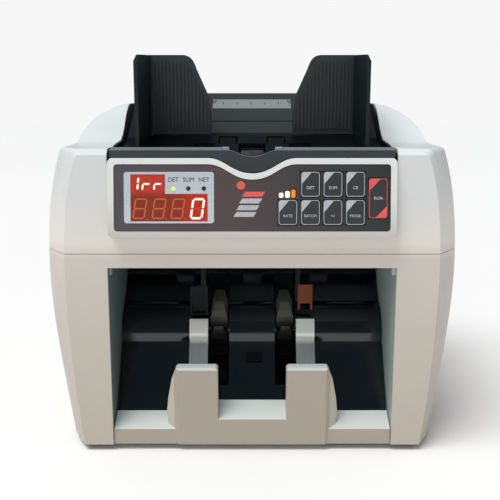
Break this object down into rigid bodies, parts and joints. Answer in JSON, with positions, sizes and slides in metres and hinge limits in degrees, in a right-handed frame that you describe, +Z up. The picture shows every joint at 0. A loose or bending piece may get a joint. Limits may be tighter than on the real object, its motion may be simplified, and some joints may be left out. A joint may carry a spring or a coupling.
{
  "type": "banknote counting machine",
  "caption": "Desktop banknote counter with a top hopper and sliding note guides, a tilted key panel, and a front stacker bay with finned wheels.",
  "frame": {"origin": "on the table, under the centre of the overall box, at the underside of the feet", "axes": "+Z up, the operator stands at -Y and faces the control panel, +X to the operator's right"},
  "size_m": [0.29, 0.2489, 0.281],
  "materials": {
    "casing_white": "fine moulded satin",
    "black_gloss": "polished black",
    "black_satin": "satin black",
    "dark_grey": "satin dark grey",
    "panel_sheet": "printed membrane",
    "silver_frame": "brushed silver",
    "red_lens": "tinted red filter",
    "key_black": "printed key",
    "rubber_black": "soft black rubber",
    "rubber_grey": "soft grey rubber",
    "steel": "ground steel",
    "zinc": "zinc-plated sheet",
    "pale_metal": "pale bright strip",
    "circuit_green": "solder mask",
    "amber_board": "amber board",
    "lamp_lens": "clear lamp",
    "belt": "ribbed belt",
    "lamp_tube": "ultraviolet tube",
    "winding": "enamelled winding",
    "domes": "silicone",
    "inner_light": "light grey moulding"
  },
  "bodies": {
    "casing": {"base_plate": "zinc", "bay_liner": "dark_grey", "bearings": "steel", "board_carrier": "zinc", "cross_rods": "steel", "display_board": "circuit_green", "display_frame": "silver_frame", "display_lens": "red_lens", "drive_belts": "belt", "drive_motor": "steel", "hopper_back": "dark_grey", "hopper_lip": "dark_grey", "hopper_tray": "black_gloss", "key_domes": "domes", "lower_shell": "casing_white", "main_board": "circuit_green", "note_sensors": "dark_grey", "outlet_cover": "black_gloss", "panel_bezel": "casing_white", "panel_lamps": "lamp_lens", "panel_overlay": "panel_sheet", "path_guides": "zinc", "power_entry": "black_satin", "rear_cover": "casing_white", "rubber_feet": "rubber_black", "screws": "steel", "sensor_tag": "amber_board", "side_frames": "zinc", "stacker_tray": "casing_white", "stripper_strips": "pale_metal", "transformer": "winding", "upper_shell": "casing_white", "uv_lamp": "lamp_tube"},
    "guide_left_body": {"guide_left": "black_satin", "rack_left": "black_satin"},
    "guide_right_body": {"guide_right": "black_satin", "rack_right": "black_satin"},
    "pinion_body": {"guide_pinion": "inner_light"},
    "feed_body": {"feed_shaft": "steel", "feed_wheels": "rubber_black"},
    "pickup_body": {"pickup_shaft": "steel", "pickup_wheels": "rubber_black"},
    "outlet_body": {"outlet_shaft": "steel", "outlet_wheels": "rubber_black"},
    "pinch_body": {"pinch_rollers": "inner_light"},
    "stacker_body": {"stacker_shaft": "steel", "impeller_wheels": "black_satin"},
    "motor_body": {"motor_rotor": "steel"},
    "retard_body": {"retard_bracket": "inner_light", "retard_roller": "rubber_grey"},
    "rocker_body": {"switch_rocker": "black_gloss"},
    "knob_body": {"adjust_knob": "black_satin"},
    "key_add_body": {"key_add": "key_black"},
    "key_auto_body": {"key_auto": "key_black"},
    "key_clear_body": {"key_clear": "key_black"},
    "key_detect_body": {"key_detect": "key_black"},
    "key_plus_one_body": {"key_plus_one": "key_black"},
    "key_preset_body": {"key_preset": "key_black"},
    "key_speed_body": {"key_speed": "key_black"},
    "key_start_body": {"key_start": "key_black"}
  },
  "joints": [
    {"name": "feed_spin", "type": "hinge", "parent": "casing", "child": "feed_body", "pos_m": [0, -0.078, 0.19], "axis": [1, 0, 0], "continuous": true},
    {"name": "pickup_spin", "type": "hinge", "parent": "casing", "child": "pickup_body", "pos_m": [0, -0.0437, 0.2078], "axis": [1, 0, 0], "continuous": true},
    {"name": "outlet_spin", "type": "hinge", "parent": "casing", "child": "outlet_body", "pos_m": [0, -0.014, 0.128], "axis": [1, 0, 0], "continuous": true},
    {"name": "pinch_spin", "type": "hinge", "parent": "casing", "child": "pinch_body", "pos_m": [0, -0.033, 0.136], "axis": [1, 0, 0], "continuous": true},
    {"name": "stacker_spin", "type": "hinge", "parent": "casing", "child": "stacker_body", "pos_m": [0, -0.04, 0.0685], "axis": [1, 0, 0], "continuous": true},
    {"name": "motor_spin", "type": "hinge", "parent": "casing", "child": "motor_body", "pos_m": [0, 0.045, 0.04], "axis": [1, 0, 0], "continuous": true},
    {"name": "guide_left_slide", "type": "slide", "parent": "casing", "child": "guide_left_body", "axis": [1, 0, 0], "range_m": [-0.005, 0.02]},
    {"name": "guide_right_slide", "type": "slide", "parent": "casing", "child": "guide_right_body", "axis": [1, 0, 0], "range_m": [-0.02, 0.005]},
    {"name": "pinion_turn", "type": "hinge", "parent": "casing", "child": "pinion_body", "pos_m": [0, -0.02, 0.198], "axis": [0, 0, 1], "range_deg": [-48, 192]},
    {"name": "adjust_turn", "type": "hinge", "parent": "casing", "child": "knob_body", "pos_m": [0, 0.066, 0.246], "axis": [0, 0, 1], "range_deg": [0, 360]},
    {"name": "retard_swing", "type": "hinge", "parent": "casing", "child": "retard_body", "pos_m": [0, -0.106, 0.188], "axis": [1, 0, 0], "range_deg": [0, 2]},
    {"name": "switch_rock", "type": "hinge", "parent": "casing", "child": "rocker_body", "pos_m": [0.04, 0.1185, 0.041], "axis": [1, 0, 0], "range_deg": [0, 8]},
    {"name": "key_add_press", "type": "slide", "parent": "casing", "child": "key_add_body", "axis": [0, 0.9903, -0.1392], "range_m": [0, 0.0005], "stiffness_N_per_m": 400},
    {"name": "key_auto_press", "type": "slide", "parent": "casing", "child": "key_auto_body", "axis": [0, 0.9903, -0.1392], "range_m": [0, 0.0005], "stiffness_N_per_m": 400},
    {"name": "key_clear_press", "type": "slide", "parent": "casing", "child": "key_clear_body", "axis": [0, 0.9903, -0.1392], "range_m": [0, 0.0005], "stiffness_N_per_m": 400},
    {"name": "key_detect_press", "type": "slide", "parent": "casing", "child": "key_detect_body", "axis": [0, 0.9903, -0.1392], "range_m": [0, 0.0005], "stiffness_N_per_m": 400},
    {"name": "key_plus_one_press", "type": "slide", "parent": "casing", "child": "key_plus_one_body", "axis": [0, 0.9903, -0.1392], "range_m": [0, 0.0005], "stiffness_N_per_m": 400},
    {"name": "key_preset_press", "type": "slide", "parent": "casing", "child": "key_preset_body", "axis": [0, 0.9903, -0.1392], "range_m": [0, 0.0005], "stiffness_N_per_m": 400},
    {"name": "key_speed_press", "type": "slide", "parent": "casing", "child": "key_speed_body", "axis": [0, 0.9903, -0.1392], "range_m": [0, 0.0005], "stiffness_N_per_m": 400},
    {"name": "key_start_press", "type": "slide", "parent": "casing", "child": "key_start_body", "axis": [0, 0.9903, -0.1392], "range_m": [0, 0.0005], "stiffness_N_per_m": 400}
  ],
  "couplings": [
    {"joint": "pickup_spin", "follows": "feed_spin", "ratio": 1.5},
    {"joint": "outlet_spin", "follows": "feed_spin", "ratio": 1.2},
    {"joint": "pinch_spin", "follows": "feed_spin", "ratio": -1.4194},
    {"joint": "stacker_spin", "follows": "feed_spin", "ratio": 0.92308},
    {"joint": "motor_spin", "follows": "feed_spin", "ratio": 1.8},
    {"joint": "guide_right_slide", "follows": "guide_left_slide", "ratio": -1},
    {"joint": "pinion_turn", "follows": "guide_left_slide", "rad_per_m": 166.67},
    {"joint": "retard_swing", "follows": "adjust_turn", "ratio": 0.0055556}
  ]
}
